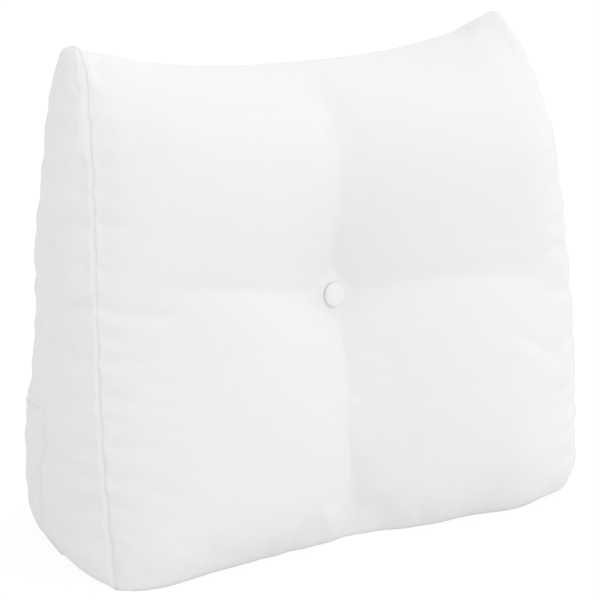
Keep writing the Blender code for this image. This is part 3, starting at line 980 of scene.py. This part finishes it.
def add_ripples(cover):
    """Put the ripples of the swollen cloth onto the fine net."""
    half = spread(CALM_COLUMNS, 0.3)
    calm = Cover(np.concatenate([-half[:0:-1], half]), CALM_ROWS, calm_side_columns)
    columns, places, q = calm.columns, calm.places, calm.q[1][0]
    ring_moves, side_moves = swell(calm)
    seam_fade = np.minimum(1, (1 - np.abs(cover.columns)) / RIPPLE_SEAM_FADE)[:, None, None]
    moves = read_net(ripples(ring_moves), columns, places, cover.columns, cover.places)
    from_seam = NET_HALF_WIDTH * (1 - np.abs(cover.columns))[:, None]
    height = cover.rings[..., 2]
    at_foot = RIPPLE_FOOT * np.exp(-height / RIPPLE_FOOT_HEIGHT)
    near_edge = np.maximum(np.exp(-from_seam / RIPPLE_REACH), at_foot)
    near_right = smooth_step(0.3, 0.9, cover.columns)[:, None]
    moves *= (RIPPLE_FIELD + (RIPPLE_SEAM - RIPPLE_RIGHT_LOSS * near_right) * near_edge)[..., None]
    floor_fade = smooth_step(0.0, RIPPLE_FLOOR_FADE, cover.rings[..., 2])[..., None]
    seat = np.hypot(cover.rings[..., 0], cover.rings[..., 2] - BUTTON_HEIGHT)
    seat_fade = smooth_step(SEAT_RADIUS, DIMPLE_RADIUS, seat)[..., None]
    seat_fade[:, NET_ROWS:] = 1
    cover.rings += moves * seam_fade * floor_fade * seat_fade
    rows = np.linspace(0, 1, CALM_ROWS + 1)[:-1]
    new_rows = np.linspace(0, 1, NET_ROWS + 1)[:-1]
    for side in (-1, 1):
        new_q = cover.q[side]
        moves = read_net(ripples(side_moves[side]), rows, q, new_rows, new_q)
        fade = np.minimum(1, np.minimum(new_q, 1 - new_q) / SIDE_RIPPLE_FADE)
        fade = (fade * (SIDE_RIPPLE - SIDE_RIPPLE_LOSS * new_q))[..., None]
        floor_fade = smooth_step(0.0, RIPPLE_FLOOR_FADE, cover.sides[side][..., 2])[..., None]
        cover.sides[side] += moves * fade * floor_fade


def make_pillow():
    """Make the filled cover, and return its net."""
    cover = Cover(fine_columns(), NET_ROWS, fine_side_columns)
    add_ripples(cover)
    cover.rings = on_frame(cover.rings)
    cover.sides = {side: on_frame(net) for side, net in cover.sides.items()}
    piece = plain_object("pillow_cover", cover.build())
    front_cloth = cloth_material("front_cloth", "X")
    side_cloth = cloth_material("side_cloth", "Y")
    dress(piece, "pillow", "body_cloth", front_cloth, side_cloth)
    return cover


def add_thread(mesh_data, start, end):
    """Add a short thread between two points, rounded at its ends."""
    axis = Vector(end) - Vector(start)
    turn = axis.to_track_quat("Z", "Y").to_matrix()
    length = axis.length
    profile = ((0.0, 0.0), (0.08, 0.75), (0.25, 1.0), (0.75, 1.0), (0.92, 0.75), (1.0, 0.0))
    rows = []
    for share, size in profile:
        ring = []
        for k in range(THREAD_SEGMENTS):
            angle = 2 * pi * k / THREAD_SEGMENTS
            x, y = cos(angle) * THREAD_RADIUS * size, sin(angle) * THREAD_RADIUS * size
            offset = Vector((x, y, share * length))
            ring.append(mesh_data.verts.new(Vector(start) + turn @ offset))
        rows.append(ring)
    for low, high in zip(rows, rows[1:]):
        for k in range(THREAD_SEGMENTS):
            mesh_data.faces.new((low[k], low[k - 1], high[k - 1], high[k]))
    bmesh.ops.remove_doubles(mesh_data, verts=rows[0] + rows[-1], dist=1e-7)


def stitch_row(mesh_data, line, outward_line):
    """Add stitches along a line of points that lies on the cloth."""
    steps = np.linalg.norm(np.diff(line, axis=0), axis=1)
    along = np.concatenate([[0], np.cumsum(steps)])
    starts = np.arange(STITCH_PITCH, along[-1] - STITCH_PITCH, STITCH_PITCH)
    where = curve_through(along, line)
    out = curve_through(along, outward_line)
    for start in starts:
        ends = where(np.array([start, start + STITCH_LENGTH]))
        lift = out(np.array([start + STITCH_LENGTH / 2]))[0] * THREAD_RADIUS * THREAD_PROUD
        add_thread(mesh_data, ends[0] + lift, ends[1] + lift)


def make_stitching(cover):
    """Topstitching along the strip beside each of the four long seams."""
    threads = bmesh.new()
    column = SIDE_STEPS.index(STITCH_LINE)
    for side in (-1, 1):
        net = cover.sides[side]
        for place in (column, net.shape[1] - 1 - column):
            line = net[6:-3, place]
            out = np.tile([side * 1.0, 0.0, 0.0], (len(line), 1))
            stitch_row(threads, line, out)
    piece = plain_object("seam_topstitching", threads)
    dress(piece, None, "body_cloth", thread_material())


def thread_material():
    """White sewing thread, with its twist in bump."""
    material, nodes, links, shader = new_material("white_thread")
    white = (0.86, 0.86, 0.862, 1)
    set_inputs(shader, {"Base Color": white, "Roughness": 0.6, "Sheen Weight": 0.1})
    place = nodes.new("ShaderNodeTexCoord")
    twist = nodes.new("ShaderNodeTexWave")
    twist.bands_direction = "DIAGONAL"
    twist.inputs["Scale"].default_value = 900
    links.new(place.outputs["Object"], twist.inputs["Vector"])
    bump = nodes.new("ShaderNodeBump")
    bump.inputs["Distance"].default_value = 0.00006
    links.new(twist.outputs["Fac"], bump.inputs["Height"])
    links.new(bump.outputs["Normal"], shader.inputs["Normal"])
    return material


def make_button():
    """A cloth-covered dome, its cloth gathered round the rim."""
    data = bmesh.new()
    rows = []
    for i in range(1, BUTTON_ROUNDS + 1):
        t = i / BUTTON_ROUNDS
        angle = t * pi / 2
        radius = BUTTON_RADIUS * sin(angle) ** 0.92
        height = BUTTON_EDGE + (BUTTON_RISE - BUTTON_EDGE) * cos(angle) ** 0.9
        rows.append((radius, height, t))
    for i in range(1, BUTTON_RIM_ROUNDS + 1):
        t = i / BUTTON_RIM_ROUNDS
        radius = BUTTON_RADIUS * (1 - BUTTON_RIM_INSET * t ** 2)
        rows.append((radius, BUTTON_EDGE * (1 - t), 1 + t))
    top = data.verts.new((0, 0, BUTTON_RISE))
    rings = []
    for radius, height, t in rows:
        gather = BUTTON_GATHER * smooth_step(0.72, 1.15, t)
        ring = []
        for k in range(BUTTON_SEGMENTS):
            turn = 2 * pi * k / BUTTON_SEGMENTS
            fold = gather * abs(sin(turn * BUTTON_TUCKS / 2 + 0.6 * sin(3 * turn)))
            size = radius - fold
            ring.append(data.verts.new((size * cos(turn), size * sin(turn), height)))
        rings.append(ring)
    for k in range(BUTTON_SEGMENTS):
        data.faces.new((top, rings[0][k - 1], rings[0][k]))
    for low, high in zip(rings, rings[1:]):
        for k in range(BUTTON_SEGMENTS):
            data.faces.new((low[k], low[k - 1], high[k - 1], high[k]))
    data.faces.new(rings[-1])
    bmesh.ops.recalc_face_normals(data, faces=data.faces)
    piece = plain_object("button_cover", data)
    facing = Vector((tan(BUTTON_SWING), -1, tan(BUTTON_TILT))).normalized()
    centre = Vector((-MIDDLE_ACROSS, SEAT_DEPTH - MIDDLE_DEPTH, BUTTON_HEIGHT))
    centre = centre + facing * BUTTON_CLEARANCE
    turn = facing.to_track_quat("Z", "Y").to_matrix().to_4x4()
    piece.data.transform(Matrix.Translation(centre) @ turn)
    cloth = cloth_material("button_cloth", "X", (0.855, 0.855, 0.858))
    dress(piece, "button", "button_cloth", cloth)


def side_reader(net):
    """Return a function that reads how far across a side panel lies, at a depth and height."""
    def at(depth, height):
        rows = net[:, net.shape[1] // 2, 2]
        row = np.interp(height, rows, np.arange(len(rows)))
        low = int(np.clip(np.floor(row), 0, len(rows) - 2))
        line = net[low] + (net[low + 1] - net[low]) * (row - low)
        order = np.argsort(line[:, 1])
        return np.interp(depth, line[order, 1], line[order, 0])
    return at


def placket_net(side_net, heights, shares):
    """Return the placket's points on the side panel, and the panel's normals there."""
    at = side_reader(side_net)
    front_at = curve_through([row.height for row in PLACKET], [row.front for row in PLACKET])
    back_at = curve_through(side_net[:, -1, 2], side_net[:, -1, 1])
    fall = PLACKET_FALL * (heights - heights[0]) / (heights[-1] - heights[0])
    points = np.zeros((len(heights), len(shares), 3))
    normals = np.zeros_like(points)
    step = PLACKET_SLOPE_STEP
    for i, height in enumerate(heights):
        front = front_at(height) - MIDDLE_DEPTH
        end = back_at(height) - PLACKET_FROM_SEAM
        for j, share in enumerate(shares):
            depth = front + (end - front) * share
            level = height - fall[i] * share
            by_depth = (at(depth + step, level) - at(depth - step, level)) / (2 * step)
            by_height = (at(depth, level + step) - at(depth, level - step)) / (2 * step)
            normal = np.array([-1.0, by_depth, by_height])
            points[i, j] = (at(depth, level), depth, level)
            normals[i, j] = normal / np.linalg.norm(normal)
    return points, normals


def placket_lift(points, shares, across):
    """Return how far the placket's outer face stands off its points."""
    from_top = PLACKET[-1].height - PLACKET_FALL * shares - points[..., 2]
    inwards = np.minimum(across, from_top)
    edge = np.minimum(inwards, points[..., 2] - PLACKET[0].height)
    edge = np.minimum(edge, np.linalg.norm(points - points[:, -1:], axis=2))
    t = np.clip(edge / PLACKET_ROUNDING, 0, 1)
    thickness = PLACKET_THICKNESS * np.sqrt(1 - (1 - t) ** 2)
    dent = PLACKET_DENT * bell(inwards - PLACKET_HEM, PLACKET_DENT_WIDTH)
    hem = PLACKET_HEM_RISE * (1 - smooth_step(PLACKET_HEM, PLACKET_HEM + PLACKET_HEM_FADE, inwards))
    return thickness * (1 + hem / PLACKET_THICKNESS) - dent * t


def vertex_rows(mesh_data, points):
    return [[mesh_data.verts.new(point) for point in row] for row in points]


def rim_of(rows):
    """Return the vertices round the edge of a grid of rows."""
    there = rows[0] + [row[-1] for row in rows[1:]]
    return there + rows[-1][-2::-1] + [row[0] for row in rows[-2:0:-1]]


def make_placket(cover):
    """The flap over the zip: a folded strip sewn down along its hem."""
    heights = PLACKET[0].height + (PLACKET[-1].height - PLACKET[0].height) * spread(PLACKET_ROWS, 0.35)
    shares = spread(PLACKET_COLUMNS, 0.6)
    points, normals = placket_net(cover.sides[-1], heights, shares)
    across = np.linalg.norm(points - points[:, :1], axis=2)
    lift = placket_lift(points, shares, across)
    outer = points + normals * (PLACKET_LIFT + lift[..., None])
    data = bmesh.new()
    over = vertex_rows(data, outer)
    under = vertex_rows(data, points - normals * PLACKET_SINK)
    fill_grid(data, over, 0)
    fill_grid(data, [row[::-1] for row in under], 0)
    rim_over, rim_under = rim_of(over), rim_of(under)
    for k in range(len(rim_over)):
        data.faces.new((rim_over[k - 1], rim_over[k], rim_under[k], rim_under[k - 1]))
    bmesh.ops.recalc_face_normals(data, faces=data.faces)
    piece = plain_object("zip_placket", data)
    dress(piece, "zip_flap", "placket_cloth", cloth_material("placket_cloth", "Y"))
    threads = bmesh.new()
    column = int(np.argmin(np.abs(across[PLACKET_ROWS // 2] - PLACKET_HEM)))
    row = int(np.argmin(np.abs(heights - (PLACKET[-1].height - PLACKET_HEM))))
    for line in ((slice(2, row + 1), column), (row, slice(column, -2))):
        stitch_row(threads, outer[line], normals[line])
    stitches = plain_object("placket_topstitching", threads)
    dress(stitches, None, "placket_cloth", thread_material())


def stage_disc(name, glow):
    """Return a wide glowing disc that is stage, not object, and its material's parts."""
    disc = bmesh.new()
    bmesh.ops.create_circle(disc, cap_ends=True, segments=96, radius=14)
    piece = plain_object(name, disc)
    material, nodes, links, shader = new_material(name + "_white")
    set_inputs(shader, {"Roughness": 0.95, "Specular IOR Level": 0.0})
    set_inputs(shader, {"Emission Color": (1, 1, 1, 1), "Emission Strength": glow})
    piece.data.materials.append(material)
    return piece, nodes, links, shader


def make_floor():
    """A plain pale floor that is seen, and one below it that throws light back, glows as painted light
    and is painted darker near the middle as painted shade under the pillow.
    """
    seen, nodes, links, shader = stage_disc("floor", FLOOR_SEEN_GLOW)
    set_inputs(shader, {"Base Color": (FLOOR_SHADE, FLOOR_SHADE, FLOOR_SHADE, 1)})
    seen.visible_diffuse = False
    seen.visible_glossy = False
    seen.visible_shadow = False
    bounce, nodes, links, shader = stage_disc("floor_bounce", FLOOR_GLOW)
    bounce.location.z = -FLOOR_DROP
    bounce.visible_camera = False
    place = nodes.new("ShaderNodeTexCoord")
    length = nodes.new("ShaderNodeVectorMath")
    length.operation = "LENGTH"
    links.new(place.outputs["Object"], length.inputs[0])
    # Painted shade: the unseen floor's colour is darker near the middle, under the pillow
    pale = nodes.new("ShaderNodeMapRange")
    links.new(length.outputs["Value"], pale.inputs["Value"])
    set_inputs(pale, BOUNCE_PAINTED_SHADE)
    links.new(pale.outputs["Result"], shader.inputs["Base Color"])


def make_sky():
    """A pale sky, whitest at the horizon."""
    world = bpy.data.worlds.new("sky")
    bpy.context.scene.world = world
    world.use_nodes = True
    nodes, links = world.node_tree.nodes, world.node_tree.links
    place = nodes.new("ShaderNodeTexCoord")
    split = nodes.new("ShaderNodeSeparateXYZ")
    links.new(place.outputs["Generated"], split.inputs[0])
    ramp = nodes.new("ShaderNodeValToRGB")
    links.new(split.outputs["Z"], ramp.inputs["Fac"])
    stops = ramp.color_ramp.elements
    while len(stops) < len(SKY):
        stops.new(0.5)
    for stop, (rise, shade) in zip(stops, SKY):
        stop.position = rise
        stop.color = (shade, shade, shade, 1)
    background = nodes["Background"]
    links.new(ramp.outputs["Color"], background.inputs["Color"])
    background.inputs["Strength"].default_value = 1.0


def aimed(name, data, direction):
    """Return a new lamp or camera, turned so that it looks from a direction."""
    piece = bpy.data.objects.new(name, data)
    bpy.context.scene.collection.objects.link(piece)
    piece.rotation_mode = "QUATERNION"
    piece.rotation_quaternion = Vector(direction).to_track_quat("Z", "Y")
    return piece


def make_lamps():
    """A soft key light from the upper right front, and one for the rim from behind."""
    for row in LAMPS:
        lamp = bpy.data.lights.new(row.name, "SUN")
        lamp.energy = row.energy
        lamp.angle = radians(row.angle)
        aimed(row.name, lamp, row.direction)


def make_camera():
    camera = bpy.data.cameras.new("camera")
    camera.lens = CAMERA_LENS
    camera.sensor_width = CAMERA_SENSOR
    level = cos(CAMERA_ELEVATION)
    side, ahead = sin(CAMERA_AZIMUTH) * level, -cos(CAMERA_AZIMUTH) * level
    back = Vector((side, ahead, sin(CAMERA_ELEVATION)))
    eye = aimed("camera", camera, back)
    eye.location = Vector(CAMERA_TARGET) + back * CAMERA_DISTANCE
    bpy.context.scene.camera = eye


bpy.context.scene.view_settings.view_transform = "Standard"
make_camera()
make_floor()
make_sky()
make_lamps()
pillow = make_pillow()
make_stitching(pillow)
make_button()
make_placket(pillow)
